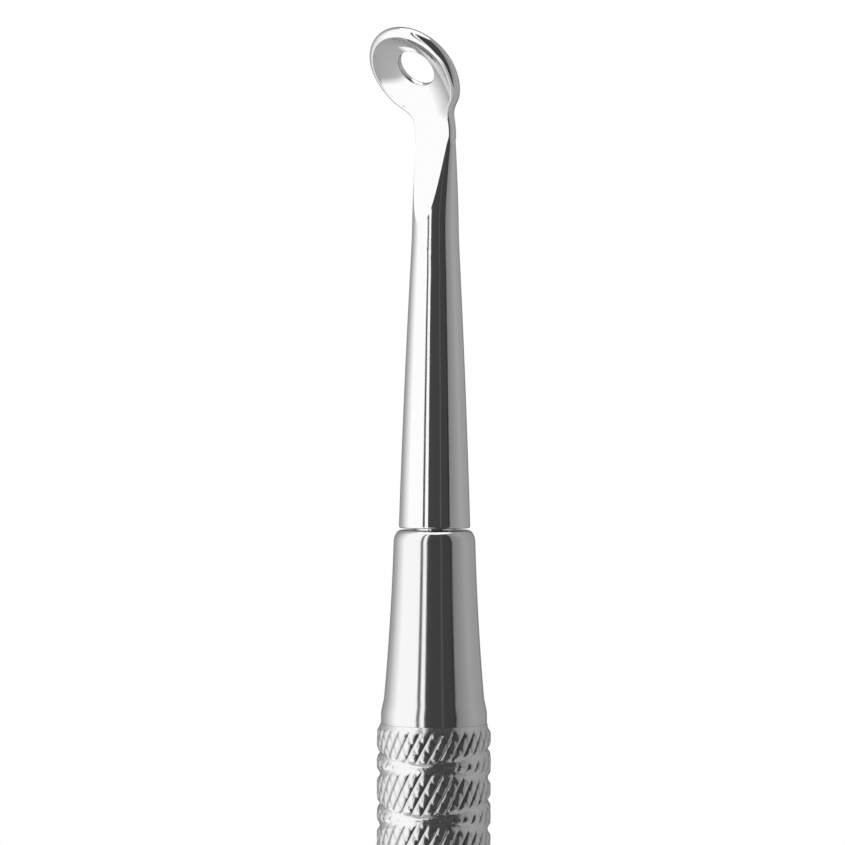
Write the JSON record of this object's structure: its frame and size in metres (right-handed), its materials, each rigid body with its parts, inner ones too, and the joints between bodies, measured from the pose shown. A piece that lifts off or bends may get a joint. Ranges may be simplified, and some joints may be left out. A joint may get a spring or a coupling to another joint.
{
  "type": "ear wax cleaner",
  "caption": "Double-ended stainless steel ear wax cleaner: a dished loop tip and a scoop tip in cone ferrules on a slim knurled tube grip.",
  "frame": {"origin": "middle of the grip, on the tool's axis, where the fingers hold it", "axes": "+Z along the tool towards the loop tip, -Y the way the loop's dish faces, +X across the loop"},
  "size_m": [0.006, 0.0066, 0.14],
  "materials": {
    "polished_steel": "mirror polished stainless steel",
    "satin_steel": "fine turned, lightly polished stainless steel",
    "knurled_steel": "diamond knurled stainless steel with polished helical grooves"
  },
  "bodies": {
    "root": {"loop_tip": "polished_steel", "scoop_tip": "polished_steel", "upper_ferrule": "satin_steel", "lower_ferrule": "satin_steel", "grip_tube": "knurled_steel"}
  },
  "joints": []
}
